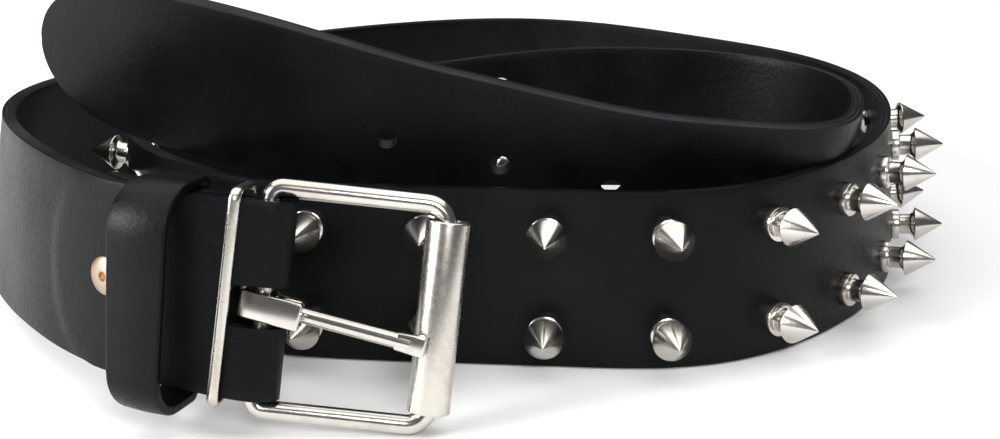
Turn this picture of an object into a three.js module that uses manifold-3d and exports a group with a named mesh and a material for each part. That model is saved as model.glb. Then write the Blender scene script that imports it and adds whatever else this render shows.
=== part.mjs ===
// A studded leather belt with a single-prong roller buckle, standing coiled on its lower edge.
// Millimetres, +Z up. The origin lies on the surface it stands on, under the middle of the whole belt.
import * as THREE from 'three';
import { mergeVertices } from 'three/addons/utils/BufferGeometryUtils.js';
import Module from 'manifold-3d';

const wasm = await Module();
wasm.setup();

// Leather strap
const STRAP_LENGTH = 1240;
const STRAP_WIDTH = 40;
const STRAP_THICKNESS = 3;
const TIP_LENGTH = 38;
const FOLD_BACK_LENGTH = 50;
const FOLD_BACK_END = 14;
const FOLD_CLOSING = 15;
const SLOT_HEIGHT = 8.4;
const SLOT_REACH = 6;

// Where the buckle bar stands, seen from above
const BAR_X = -47.4;
const BAR_Y = -75.8;

// Studs, in two rows
const STUD_COLUMNS = 20;
const STUD_PITCH = 26.6;
const FIRST_STUD_AT = 398;
const UPPER_ROW_BELOW_EDGE = 9.6;
const LOWER_ROW_ABOVE_EDGE = 8;
const CONE_DIAMETER = 9;
const CONE_LENGTH = 7;
const STUD_HEIGHT = 13.6;
const FLANGE_DIAMETER = 8.1;
const FLANGE_THICKNESS = 2.3;
const NECK_DIAMETER = 5.4;
const NECK_FLARE = 1.4;
const POST_DIAMETER = 3.6;
const SCREW_HEAD_DIAMETER = 6.8;
const SCREW_HEAD_THICKNESS = 1.3;

// Buckle holes
const HOLE_DIAMETER = 5;
const HOLE_COUNT = 5;
const HOLE_PITCH = 26.6;
const LAST_HOLE_TO_TIP = 86.5;

// Buckle
const ROD_DIAMETER = 4;
const BAR_SPACING = 35.4;
const RAIL_CLEARANCE = 0.5;
const NEAR_CORNER_RADIUS = 2.4;
const FAR_CORNER_RADIUS = 4.5;
const ROLLER_WALL = 1.5;
const ROLLER_PLAY = 0.9;
const ROLLER_END_PLAY = 1;
const PRONG_DIAMETER = 3.2;
const PRONG_SHORT_OF_BAR = 1;
const PRONG_SAG = 7;
const PRONG_DROP = 1.2;
const PRONG_EYE_WIDTH = 5.7;
const PRONG_EYE_WALL = 1.2;
const PRONG_EYE_PLAY = 0.7;
const PRONG_NECK_REACH = 8.4;
const PRONG_NECK_THICKNESS = 3;
const PRONG_NECK_OVERLAP = 1;
const PRONG_TIP_LENGTH = 6;
const PRONG_TIP_WIDTH = 4.3;
const PRONG_TIP_THICKNESS = 2.6;

// Keepers and rivet
const METAL_KEEPER_AT = 6.4;
const METAL_KEEPER_WIRE = 2;
const LEATHER_KEEPER_AT = 19.4;
const LEATHER_KEEPER_WIDTH = 10;
const LEATHER_KEEPER_THICKNESS = 2;
const LEATHER_KEEPER_SLACK = 8;
const LEATHER_KEEPER_FRONT_RADIUS = 9;
const LEATHER_KEEPER_SAG = 1.5;
const RIVET_AT = 33;
const RIVET_HEAD_DIAMETER = 8.8;
const RIVET_HEAD_HEIGHT = 1.4;
const RIVET_POST_DIAMETER = 4;
const RIVET_HEAD_GAP = 0.45;

// Clearance between pieces that touch
const FIT_GAP = 0.3;

// Numbers of sides and steps
const STUD_SIDES = 10;
const ROD_SIDES = 8;
const DRILL_SIDES = 6;
const FACETS_PER_STUD = 3;
const FRAME_CORNER_STEPS = 4;
const KEEPER_CORNER_STEPS = 3;
const SLACK_CORNER_STEPS = 6;
const KEEPER_SPANS = 3;
const END_STEPS = 6;
const FOLD_STEPS = 6;
const PATH_STEPS = 620;
const EYE_SIDES = 12;
const SWEEP_RADIUS = 1000;
const LAST_END_STEP = 0.8;

// Sizes that follow from those above
const RAIL_SPACING = STRAP_WIDTH + 2 * RAIL_CLEARANCE + ROD_DIAMETER;
const ROLLER_DIAMETER = ROD_DIAMETER + 2 * (ROLLER_PLAY + ROLLER_WALL);
const ROLLER_LENGTH = RAIL_SPACING - ROD_DIAMETER - 2 * ROLLER_END_PLAY;
const PRONG_REACH = BAR_SPACING - PRONG_SHORT_OF_BAR;

// Course of the strap seen from above: place as a share of its length, heading in degrees.
const COURSE = [
  { at: 0, heading: 180 },
  { at: 0.035, heading: 138 },
  { at: 0.066, heading: 118 },
  { at: 0.092, heading: 112 },
  { at: 0.117, heading: 94 },
  { at: 0.148, heading: 64 },
  { at: 0.199, heading: 44 },
  { at: 0.26, heading: 18 },
  { at: 0.321, heading: -36 },
  { at: 0.351, heading: -42 },
  { at: 0.381, heading: -67 },
  { at: 0.412, heading: -93 },
  { at: 0.447, heading: -114 },
  { at: 0.488, heading: -142 },
  { at: 0.529, heading: -184 },
  { at: 0.569, heading: -184 },
  { at: 0.6, heading: -216 },
  { at: 0.63, heading: -248 },
  { at: 0.655, heading: -318 },
  { at: 0.697, heading: -344 },
  { at: 0.752, heading: -359 },
  { at: 0.793, heading: -406 },
  { at: 0.819, heading: -456 },
  { at: 0.839, heading: -475 },
  { at: 0.86, heading: -534 },
  { at: 0.885, heading: -538 },
  { at: 0.925, heading: -533 },
  { at: 0.966, heading: -552 },
  { at: 1, heading: -576 },
];

// Stance of the strap: place as a share of its length, height of its lower edge as a share of its
// width, and lean in degrees, positive where the upper edge leans into the coil.
const STANCE = [
  { at: 0, rise: 0.212, lean: 13 },
  { at: 0.015, rise: 0.25, lean: 6 },
  { at: 0.046, rise: 0.26, lean: 7 },
  { at: 0.097, rise: 0.12, lean: 10 },
  { at: 0.199, rise: 0, lean: 2 },
  { at: 0.321, rise: 0, lean: 4 },
  { at: 0.412, rise: 0, lean: 5 },
  { at: 0.559, rise: 0, lean: 6 },
  { at: 0.625, rise: 0.01, lean: 2 },
  { at: 0.697, rise: 0.12, lean: -3 },
  { at: 0.752, rise: 0.25, lean: -3 },
  { at: 0.829, rise: 0.24, lean: -12 },
  { at: 0.875, rise: 0.34, lean: -14 },
  { at: 0.92, rise: 0.64, lean: -17 },
  { at: 0.968, rise: 1.05, lean: -18 },
  { at: 1, rise: 1.17, lean: -2 },
];

const LEATHER = { color: 0x16191b, roughness: 0.5, metalness: 0 };
const NICKEL = { color: 0xb9b4ab, roughness: 0.25, metalness: 1 };
const COPPER = { color: 0xb08d74, roughness: 0.4, metalness: 1 };

const radians = THREE.MathUtils.degToRad;

// Slopes of a monotone cubic through one column of a table
function columnSlopes(rows, column) {
  const spans = rows.slice(1).map((row, i) => row.at - rows[i].at);
  const secants = rows.slice(1).map((row, i) => (row[column] - rows[i][column]) / spans[i]);
  return rows.map((row, i) => {
    if (i === 0) return secants[0];
    if (i === rows.length - 1) return secants[i - 1];
    if (secants[i - 1] * secants[i] <= 0) return 0;
    const before = spans[i - 1] + 2 * spans[i];
    const after = spans[i] + 2 * spans[i - 1];
    return (before + after) / (before / secants[i - 1] + after / secants[i]);
  });
}

// A smooth curve through one column of a table, as a function of the share of the strap's length
function columnCurve(rows, column) {
  const slopes = columnSlopes(rows, column);
  return (share) => {
    let i = rows.findIndex((row) => row.at >= share) - 1;
    if (i < 0) i = share <= 0 ? 0 : rows.length - 2;
    const span = rows[i + 1].at - rows[i].at;
    const t = THREE.MathUtils.clamp((share - rows[i].at) / span, 0, 1);
    const rest = 1 - t;
    return (
      rows[i][column] * rest * rest * (1 + 2 * t) +
      rows[i + 1][column] * t * t * (3 - 2 * t) +
      slopes[i] * span * t * rest * rest -
      slopes[i + 1] * span * t * t * rest
    );
  };
}

const heading = columnCurve(COURSE, 'heading');
const riseShare = columnCurve(STANCE, 'rise');
const lean = columnCurve(STANCE, 'lean');

// Height of the leather's middle at a share of the strap's length
function middleHeight(share) {
  const tilt = radians(lean(share));
  const lowerHalf = (STRAP_WIDTH / 2) * Math.cos(tilt) + (STRAP_THICKNESS / 2) * Math.abs(Math.sin(tilt));
  return lowerHalf + riseShare(share) * STRAP_WIDTH;
}

// Plan points along the strap, by walking along its heading
function walkCourse() {
  const step = 1 / PATH_STEPS;
  const points = [new THREE.Vector2(BAR_X, BAR_Y)];
  for (let i = 0; i < PATH_STEPS; i += 1) {
    const angle = radians(heading((i + 0.5) * step));
    const climb = middleHeight((i + 1) * step) - middleHeight(i * step);
    const run = Math.sqrt(Math.max((step * STRAP_LENGTH) ** 2 - climb ** 2, 0));
    points.push(new THREE.Vector2(Math.cos(angle), Math.sin(angle)).multiplyScalar(run).add(points[i]));
  }
  return points;
}

const course = walkCourse();

// The strap's own axes at a distance from the buckle bar: along it, out of the coil, and up its width
function strapFrame(distance) {
  const inside = THREE.MathUtils.clamp(distance / STRAP_LENGTH, 0, 1);
  const place = inside * PATH_STEPS;
  const i = Math.min(Math.floor(place), PATH_STEPS - 1);
  const plan = course[i].clone().lerp(course[i + 1], place - i);
  const angle = radians(heading(inside));
  const tilt = radians(lean(inside));
  const behind = Math.max(inside - 1 / PATH_STEPS, 0);
  const ahead = Math.min(inside + 1 / PATH_STEPS, 1);
  const climb = middleHeight(ahead) - middleHeight(behind);
  const spread = (ahead - behind) * STRAP_LENGTH;
  const along = new THREE.Vector3(Math.cos(angle), Math.sin(angle), climb / spread).normalize();
  const level = new THREE.Vector3(-Math.sin(angle), Math.cos(angle), 0);
  const upright = new THREE.Vector3().crossVectors(along, level);
  const up = upright.clone().multiplyScalar(Math.cos(tilt)).addScaledVector(level, -Math.sin(tilt));
  const out = level.clone().multiplyScalar(Math.cos(tilt)).addScaledVector(upright, Math.sin(tilt));
  const origin = new THREE.Vector3(plan.x, plan.y, middleHeight(inside));
  origin.addScaledVector(along, distance - inside * STRAP_LENGTH);
  return { origin, along, out, up };
}

// A point given by its distance along the strap, how far out of its middle and how far up its width
function onStrap(distance, outward, upward) {
  const frame = strapFrame(distance);
  return frame.origin.addScaledVector(frame.out, outward).addScaledVector(frame.up, upward);
}

// Seats a rigid piece on the strap: its x points back to the buckle, y up the width, z out of the coil.
// It sits square on the flat facet that reaches half a span to each side of it.
function strapMatrix(distance, outward, upward, span) {
  const before = onStrap(distance - span / 2, 0, upward);
  const after = onStrap(distance + span / 2, 0, upward);
  const along = after.clone().sub(before).normalize();
  const out = new THREE.Vector3().crossVectors(strapFrame(distance).up, along).normalize();
  const up = new THREE.Vector3().crossVectors(along, out);
  const matrix = new THREE.Matrix4().makeBasis(along.negate(), up, out);
  return matrix.setPosition(before.add(after).multiplyScalar(0.5).addScaledVector(out, outward));
}

// Keeps only positions and shared corners, and drops triangles that have shrunk to nothing
function welded(geometry) {
  const bare = geometry.clone();
  bare.deleteAttribute('normal');
  bare.deleteAttribute('uv');
  const merged = mergeVertices(bare, 1e-4);
  const index = [];
  const corners = merged.index.array;
  for (let i = 0; i < corners.length; i += 3) {
    const [a, b, c] = [corners[i], corners[i + 1], corners[i + 2]];
    if (a !== b && b !== c && c !== a) index.push(a, b, c);
  }
  merged.setIndex(index);
  return merged;
}

function toSolid(geometry) {
  const merged = welded(geometry);
  const vertProperties = new Float32Array(merged.attributes.position.array);
  const triVerts = new Uint32Array(merged.index.array);
  return new wasm.Manifold(new wasm.Mesh({ numProp: 3, vertProperties, triVerts }));
}

function toGeometry(solid) {
  const mesh = solid.getMesh();
  const geometry = new THREE.BufferGeometry();
  geometry.setAttribute('position', new THREE.BufferAttribute(new Float32Array(mesh.vertProperties), 3));
  geometry.setIndex(new THREE.BufferAttribute(new Uint32Array(mesh.triVerts), 1));
  return geometry;
}

// Moves every point of a geometry by a function of its old place
function reshaped(geometry, move) {
  const position = geometry.attributes.position;
  const point = new THREE.Vector3();
  for (let i = 0; i < position.count; i += 1) {
    point.fromBufferAttribute(position, i);
    const moved = move(point.clone());
    position.setXYZ(i, moved.x, moved.y, moved.z);
  }
  geometry.computeVertexNormals();
  return geometry;
}

// Places along the leather, from the end of the folded-back layer to the belt's tip. The fold has
// negative places, and the bar is at zero.
const foldRadius = ROD_DIAMETER / 2 + FIT_GAP + STRAP_THICKNESS / 2;
const foldLength = Math.PI * foldRadius;
const layerSpacing = STRAP_THICKNESS + FIT_GAP;
const leatherStart = -foldLength - FOLD_BACK_LENGTH;
const barOutward = -foldRadius;

// Centre of the leather beside the strap's course: distance along it and offset out of the coil
function leatherCentre(place) {
  if (place >= 0) return new THREE.Vector2(place, 0);
  if (place >= -foldLength) {
    const angle = -place / foldRadius;
    return new THREE.Vector2(-foldRadius * Math.sin(angle), barOutward + foldRadius * Math.cos(angle));
  }
  const back = -foldLength - place;
  const closed = THREE.MathUtils.smoothstep(back, ROD_DIAMETER / 2 + FIT_GAP, FOLD_CLOSING);
  return new THREE.Vector2(back, -2 * foldRadius + (2 * foldRadius - layerSpacing) * closed);
}

// Direction from the middle of the leather to its outer face, in the same two axes
function leatherOutward(place) {
  const nudge = 0.05;
  const ahead = leatherCentre(place + nudge);
  const behind = leatherCentre(place - nudge);
  const travel = ahead.sub(behind).normalize();
  return new THREE.Vector2(-travel.y, travel.x);
}

// Half width of the leather: both ends are half ellipses
function halfWidth(place) {
  const full = STRAP_WIDTH / 2;
  const fromTip = (STRAP_LENGTH - place) / TIP_LENGTH;
  const fromFoldEnd = (place - leatherStart) / FOLD_BACK_END;
  const nearest = THREE.MathUtils.clamp(Math.min(fromTip, fromFoldEnd), 0, 1);
  return full * Math.sqrt(Math.max(1 - (1 - nearest) ** 2, 0));
}

// Distances from a rounded end, from where it starts to a last one that leaves a narrow flat end
function endSteps(length) {
  return Array.from({ length: END_STEPS }, (_, i) => {
    const angle = (Math.PI / 2) * (i / (END_STEPS - LAST_END_STEP));
    return length * (1 - Math.sin(angle));
  });
}

// Length of one flat facet of the bent leather
const facetLength = STUD_PITCH / FACETS_PER_STUD;

function leatherPlaces() {
  const places = endSteps(FOLD_BACK_END).reverse().map((step) => leatherStart + step);
  const foldBackRun = FOLD_BACK_LENGTH - FOLD_BACK_END;
  const foldBackSteps = Math.max(Math.round((2 * foldBackRun) / facetLength), 4);
  for (let i = 1; i <= foldBackSteps; i += 1) {
    places.push(leatherStart + FOLD_BACK_END + (foldBackRun * i) / foldBackSteps);
  }
  for (let i = 1; i <= FOLD_STEPS; i += 1) places.push(-foldLength * (1 - i / FOLD_STEPS));
  const firstEdge = FIRST_STUD_AT + facetLength / 2;
  const tipStart = STRAP_LENGTH - TIP_LENGTH;
  const firstIndex = Math.ceil((facetLength / 3 - firstEdge) / facetLength);
  for (let i = firstIndex; firstEdge + (i + 1 / 3) * facetLength < tipStart; i += 1) {
    places.push(firstEdge + i * facetLength);
  }
  for (const step of endSteps(TIP_LENGTH)) places.push(STRAP_LENGTH - step);
  return places;
}

// The leather before any hole is cut: a long box bent along its course
function leatherBlank() {
  const places = leatherPlaces();
  const box = new THREE.BoxGeometry(places.length - 1, 2, STRAP_THICKNESS, places.length - 1, 1, 1);
  return reshaped(box, (point) => {
    const place = places[Math.round((places.length - 1) / 2 - point.x)];
    const middle = leatherCentre(place);
    const outward = leatherOutward(place);
    const distance = middle.x + outward.x * point.z;
    return onStrap(distance, middle.y + outward.y * point.z, halfWidth(place) * point.y);
  });
}

// A round cutter through the leather, centred on a place of the main layer
function drill(diameter, depth, distance, outward, upward) {
  const corner = diameter / 2 / Math.cos(Math.PI / DRILL_SIDES);
  const cutter = new THREE.CylinderGeometry(corner, corner, depth, DRILL_SIDES);
  cutter.rotateX(Math.PI / 2);
  cutter.applyMatrix4(strapMatrix(distance, outward, upward, facetLength));
  return toSolid(cutter);
}

const studRows = [
  { name: 'upper', upward: STRAP_WIDTH / 2 - UPPER_ROW_BELOW_EDGE },
  { name: 'lower', upward: LOWER_ROW_ABOVE_EDGE - STRAP_WIDTH / 2 },
];
const studPlaces = Array.from({ length: STUD_COLUMNS }, (_, i) => FIRST_STUD_AT + i * STUD_PITCH);

function buildStrap() {
  let leather = toSolid(leatherBlank());
  const throughOne = 2 * STRAP_THICKNESS;
  for (const place of studPlaces) {
    for (const row of studRows) {
      leather = leather.subtract(drill(POST_DIAMETER + 2 * FIT_GAP, throughOne, place, 0, row.upward));
    }
  }
  for (let i = 0; i < HOLE_COUNT; i += 1) {
    const place = STRAP_LENGTH - LAST_HOLE_TO_TIP - i * HOLE_PITCH;
    leather = leather.subtract(drill(HOLE_DIAMETER, throughOne, place, 0, 0));
  }
  const bothLayers = 2 * (layerSpacing + STRAP_THICKNESS);
  leather = leather.subtract(
    drill(RIVET_POST_DIAMETER + 2 * FIT_GAP, bothLayers, RIVET_AT, -layerSpacing / 2, 0),
  );
  const slotDepth = 2 * (2 * foldRadius + STRAP_THICKNESS);
  const slotLength = SLOT_REACH + 2 * foldRadius;
  const slot = new THREE.BoxGeometry(slotLength, SLOT_HEIGHT, slotDepth);
  slot.translate(slotLength / 2 - SLOT_REACH, -PRONG_DROP, 0);
  slot.applyMatrix4(buckleMatrix());
  return toGeometry(leather.subtract(toSolid(slot)));
}

// One stud turned about its own axis: screw head, post, flange, neck and cone
function buildStud() {
  const back = -STRAP_THICKNESS - FIT_GAP;
  const flangeTop = FIT_GAP + FLANGE_THICKNESS;
  const coneBase = STUD_HEIGHT - CONE_LENGTH;
  const profile = [
    [0, back - SCREW_HEAD_THICKNESS],
    [SCREW_HEAD_DIAMETER / 2, back],
    [POST_DIAMETER / 2, back],
    [POST_DIAMETER / 2, FIT_GAP],
    [FLANGE_DIAMETER / 2, FIT_GAP],
    [FLANGE_DIAMETER / 2, flangeTop],
    [NECK_DIAMETER / 2, flangeTop],
    [NECK_DIAMETER / 2, coneBase - NECK_FLARE],
    [CONE_DIAMETER / 2, coneBase],
    [0, STUD_HEIGHT],
  ].map(([radius, height]) => new THREE.Vector2(radius, height));
  const stud = new THREE.LatheGeometry(profile, STUD_SIDES);
  stud.rotateX(Math.PI / 2);
  return stud;
}

function studMatrix(place, upward) {
  return strapMatrix(place, STRAP_THICKNESS / 2, upward, facetLength);
}

// A ring whose section is a profile of [across, along] pairs, swept round a closed loop of knots in
// the x-y plane, each with its centre and its outward direction
function ringAlong(profile, knots) {
  const points = profile.map(([across, along]) => new THREE.Vector2(SWEEP_RADIUS + across, along));
  points.push(points[0].clone());
  const ring = new THREE.LatheGeometry(points, knots.length);
  return reshaped(ring, (point) => {
    const turn = Math.atan2(point.x, point.z) / (2 * Math.PI) + 1;
    const across = Math.hypot(point.x, point.z) - SWEEP_RADIUS;
    const knot = knots[Math.round(turn * knots.length) % knots.length];
    const place = knot.centre.clone().addScaledVector(knot.outward, across);
    return new THREE.Vector3(place.x, place.y, point.y);
  });
}

// A polygon round a circle, as a section profile
function roundSection(diameter, sides) {
  return Array.from({ length: sides }, (_, i) => {
    const angle = (2 * Math.PI * (i + 0.5)) / sides;
    return [(Math.cos(angle) * diameter) / 2, (Math.sin(angle) * diameter) / 2];
  });
}

// A rectangle with its own corner radii on the left and right, with steps only in its corners
function roundedLoop(width, height, radii, stepsPerCorner) {
  const corners = [
    { x: width / 2, y: height / 2, radius: radii.right, from: 0 },
    { x: -width / 2, y: height / 2, radius: radii.left, from: 90 },
    { x: -width / 2, y: -height / 2, radius: radii.left, from: 180 },
    { x: width / 2, y: -height / 2, radius: radii.right, from: 270 },
  ];
  const knots = [];
  for (const corner of corners) {
    const centre = new THREE.Vector2(
      corner.x - Math.sign(corner.x) * corner.radius,
      corner.y - Math.sign(corner.y) * corner.radius,
    );
    for (let i = 0; i <= stepsPerCorner; i += 1) {
      const angle = radians(corner.from + (90 * i) / stepsPerCorner);
      const outward = new THREE.Vector2(Math.cos(angle), Math.sin(angle));
      knots.push({ centre: centre.clone().addScaledVector(outward, corner.radius), outward });
    }
  }
  return knots;
}

function buildFrame() {
  const radii = { left: NEAR_CORNER_RADIUS, right: FAR_CORNER_RADIUS };
  const knots = roundedLoop(BAR_SPACING, RAIL_SPACING, radii, FRAME_CORNER_STEPS);
  const ring = ringAlong(roundSection(ROD_DIAMETER, ROD_SIDES), knots);
  ring.translate(BAR_SPACING / 2, 0, 0);
  return ring;
}

function buildRoller() {
  const outer = ROLLER_DIAMETER / 2;
  const inner = outer - ROLLER_WALL;
  const half = ROLLER_LENGTH / 2;
  const profile = [
    [inner, -half],
    [outer, -half],
    [outer, half],
    [inner, half],
    [inner, -half],
  ].map(([radius, height]) => new THREE.Vector2(radius, height));
  return new THREE.LatheGeometry(profile, 2 * ROD_SIDES);
}

// The prong: an eye round the bar, a flat neck, a round shank and a flat tip
function buildProng() {
  const eyeInner = ROD_DIAMETER / 2 + PRONG_EYE_PLAY;
  const eyeOuter = eyeInner + PRONG_EYE_WALL;
  const halfEye = PRONG_EYE_WIDTH / 2;
  const eyeProfile = [
    [eyeInner, -halfEye],
    [eyeOuter, -halfEye],
    [eyeOuter, halfEye],
    [eyeInner, halfEye],
    [eyeInner, -halfEye],
  ].map(([radius, height]) => new THREE.Vector2(radius, height));
  const eye = new THREE.LatheGeometry(eyeProfile, EYE_SIDES);
  const neckLength = PRONG_NECK_REACH - eyeInner - PRONG_EYE_WALL / 2;
  const neck = new THREE.BoxGeometry(neckLength, PRONG_EYE_WIDTH, PRONG_NECK_THICKNESS);
  neck.translate(PRONG_NECK_REACH - neckLength / 2, 0, 0);
  const shankEnd = PRONG_REACH - PRONG_TIP_LENGTH / 2;
  const shankStart = PRONG_NECK_REACH - PRONG_NECK_OVERLAP;
  const shank = new THREE.CylinderGeometry(
    PRONG_DIAMETER / 2,
    PRONG_DIAMETER / 2,
    shankEnd - shankStart,
    ROD_SIDES,
  );
  shank.rotateZ(Math.PI / 2);
  shank.translate((shankStart + shankEnd) / 2, 0, 0);
  const tip = new THREE.BoxGeometry(PRONG_TIP_LENGTH, PRONG_TIP_WIDTH, PRONG_TIP_THICKNESS);
  tip.translate(PRONG_REACH - PRONG_TIP_LENGTH / 2, 0, 0);
  return toGeometry(toSolid(eye).add(toSolid(neck)).add(toSolid(shank)).add(toSolid(tip)));
}

// Places a buckle piece built with the bar on its y axis, x towards the roller and z out of the coil
function buckleMatrix() {
  return strapMatrix(0, barOutward, 0, FIT_GAP);
}

// A keeper loop round both layers, built with x along the strap, y up its width and z out of the coil
function keeperAt(distance, geometry) {
  return reshaped(geometry, (point) => onStrap(distance + point.x, point.z, point.y));
}

// Swaps the axes of a ring built in the x-y plane: its plane becomes z-y and its depth runs along x
function acrossStrap(geometry) {
  return reshaped(geometry, (point) => new THREE.Vector3(point.z, point.y, point.x));
}

const layersMiddle = -layerSpacing / 2;
const layersDepth = layerSpacing + STRAP_THICKNESS;

function buildMetalKeeper() {
  const underOffset = leatherCentre(-foldLength - METAL_KEEPER_AT + METAL_KEEPER_WIRE).y;
  const front = STRAP_THICKNESS / 2 + FIT_GAP + METAL_KEEPER_WIRE / 2;
  const back = underOffset - STRAP_THICKNESS / 2 - 2 * FIT_GAP - METAL_KEEPER_WIRE / 2;
  const height = STRAP_WIDTH + 4 * FIT_GAP + METAL_KEEPER_WIRE;
  const radii = { left: METAL_KEEPER_WIRE, right: METAL_KEEPER_WIRE };
  const knots = roundedLoop(front - back, height, radii, KEEPER_CORNER_STEPS);
  const ring = ringAlong(roundSection(METAL_KEEPER_WIRE, ROD_SIDES), knots);
  ring.translate((front + back) / 2, 0, 0);
  return keeperAt(METAL_KEEPER_AT, acrossStrap(ring));
}

// The section of the leather keeper: a rectangle with a few spans along the strap, so that it bends
function keeperSection() {
  const half = LEATHER_KEEPER_THICKNESS / 2;
  const alongs = Array.from(
    { length: KEEPER_SPANS + 1 },
    (_, i) => LEATHER_KEEPER_WIDTH * (i / KEEPER_SPANS - 0.5),
  );
  const outer = alongs.map((along) => [half, along]);
  const inner = alongs.map((along) => [-half, along]);
  return [...outer, ...inner.reverse()];
}

// The leather keeper is close to the strap at the back and swells loosely in front
function buildLeatherKeeper() {
  const depth = layersDepth + 4 * FIT_GAP + LEATHER_KEEPER_THICKNESS + LEATHER_KEEPER_SLACK;
  const height = STRAP_WIDTH + 2 * (FIT_GAP + LEATHER_KEEPER_SAG) + LEATHER_KEEPER_THICKNESS;
  const radii = { left: LEATHER_KEEPER_THICKNESS / 2 + FIT_GAP, right: LEATHER_KEEPER_FRONT_RADIUS };
  const ring = ringAlong(keeperSection(), roundedLoop(depth, height, radii, SLACK_CORNER_STEPS));
  ring.translate(layersMiddle + LEATHER_KEEPER_SLACK / 2, -LEATHER_KEEPER_SAG, 0);
  return keeperAt(LEATHER_KEEPER_AT, acrossStrap(ring));
}

function buildRivet() {
  const front = STRAP_THICKNESS / 2 + RIVET_HEAD_GAP;
  const back = -layerSpacing - STRAP_THICKNESS / 2 - RIVET_HEAD_GAP;
  const head = RIVET_HEAD_DIAMETER / 2;
  const post = RIVET_POST_DIAMETER / 2;
  const profile = [
    [0, back - RIVET_HEAD_HEIGHT],
    [head, back - RIVET_HEAD_HEIGHT / 3],
    [head, back],
    [post, back],
    [post, front],
    [head, front],
    [head, front + RIVET_HEAD_HEIGHT / 3],
    [0, front + RIVET_HEAD_HEIGHT],
  ].map(([radius, height]) => new THREE.Vector2(radius, height));
  const rivet = new THREE.LatheGeometry(profile, 2 * ROD_SIDES);
  rivet.rotateX(Math.PI / 2);
  return rivet;
}

const belt = new THREE.Group();

function addPiece(name, geometry, finish, matrix) {
  const mesh = new THREE.Mesh(geometry, new THREE.MeshStandardMaterial(finish));
  mesh.name = name;
  if (matrix) mesh.applyMatrix4(matrix);
  belt.add(mesh);
  return mesh;
}

addPiece('strap', buildStrap(), LEATHER);
addPiece('leather_keeper', buildLeatherKeeper(), LEATHER);
addPiece('metal_keeper', buildMetalKeeper(), NICKEL);
addPiece('keeper_rivet', buildRivet(), COPPER, strapMatrix(RIVET_AT, 0, 0, facetLength));
addPiece('buckle_frame', buildFrame(), NICKEL, buckleMatrix());

const rollerPlace = buckleMatrix().multiply(new THREE.Matrix4().makeTranslation(BAR_SPACING, 0, 0));
addPiece('roller', buildRoller(), NICKEL, rollerPlace);

// The prong turns about the bar until its tip lies on the roller, and hangs a little low in its eye
const tipHeight = ROLLER_DIAMETER / 2 + FIT_GAP + PRONG_TIP_THICKNESS / 2;
const prongTurn = new THREE.Matrix4().makeRotationY(-Math.atan2(tipHeight, PRONG_REACH));
const prongSag = new THREE.Matrix4().makeRotationZ(radians(-PRONG_SAG));
const prongDrop = new THREE.Matrix4().makeTranslation(0, -PRONG_DROP, 0);
const prongPlace = buckleMatrix().multiply(prongDrop).multiply(prongTurn).multiply(prongSag);
addPiece('prong', buildProng(), NICKEL, prongPlace);

for (const row of studRows) {
  studPlaces.forEach((place, i) => {
    const name = `stud_${row.name}_${String(i + 1).padStart(2, '0')}`;
    addPiece(name, buildStud(), NICKEL, studMatrix(place, row.upward));
  });
}

// Stands the belt on z = 0 with its middle over the origin
const box = new THREE.Box3().setFromObject(belt, true);
const base = box.getCenter(new THREE.Vector3()).setZ(box.min.z);
for (const mesh of belt.children) mesh.position.sub(base);

export default belt;
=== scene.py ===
"""Looks of a studded leather belt that stands coiled on its lower edge."""

import logging
import math
from dataclasses import dataclass, field
from enum import Enum
from typing import Callable, Sequence

import bpy
from mathutils import Matrix, Vector

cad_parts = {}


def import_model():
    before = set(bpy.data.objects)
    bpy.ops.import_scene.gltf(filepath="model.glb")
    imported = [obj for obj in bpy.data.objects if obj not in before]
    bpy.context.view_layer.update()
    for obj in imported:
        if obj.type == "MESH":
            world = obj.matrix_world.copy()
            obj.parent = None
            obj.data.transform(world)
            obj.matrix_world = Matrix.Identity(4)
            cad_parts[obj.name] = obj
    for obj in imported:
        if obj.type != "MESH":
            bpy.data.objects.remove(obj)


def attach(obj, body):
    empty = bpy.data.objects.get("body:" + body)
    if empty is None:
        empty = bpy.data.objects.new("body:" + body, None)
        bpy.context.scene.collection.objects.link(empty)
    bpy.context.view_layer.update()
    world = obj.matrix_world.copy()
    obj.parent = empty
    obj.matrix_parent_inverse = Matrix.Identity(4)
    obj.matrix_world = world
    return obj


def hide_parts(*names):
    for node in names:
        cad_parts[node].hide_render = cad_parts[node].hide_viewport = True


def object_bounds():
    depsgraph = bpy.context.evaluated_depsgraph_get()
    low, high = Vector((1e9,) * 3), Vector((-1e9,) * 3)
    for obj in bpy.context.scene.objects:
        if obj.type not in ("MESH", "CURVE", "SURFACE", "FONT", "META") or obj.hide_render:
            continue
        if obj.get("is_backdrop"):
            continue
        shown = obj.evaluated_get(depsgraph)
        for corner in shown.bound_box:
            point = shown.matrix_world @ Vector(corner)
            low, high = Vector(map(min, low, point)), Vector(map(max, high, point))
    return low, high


LOG = logging.getLogger("belt")
MM = 0.001


class Body(Enum):
    """The bodies that pieces ride on."""

    BELT = "belt"
    FRAME = "frame"
    PRONG = "prong"
    ROLLER = "roller"


class Slot(Enum):
    """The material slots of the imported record."""

    LEATHER = "leather"
    NICKEL = "nickel"
    COPPER = "copper"


class Row(Enum):
    """The two rows of studs, by height on the strap in millimetres from its middle."""

    UPPER = 10.4
    LOWER = -12.0


def smoothstep(value: float, low: float, high: float) -> float:
    """Smooth rise from 0 to 1.

    Args:
        value: where to read the curve.
        low: where it leaves 0.
        high: where it reaches 1.

    Returns:
        The height of the curve.
    """
    share = min(max((value - low) / (high - low), 0.0), 1.0)
    return share * share * (3 - 2 * share)


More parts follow.
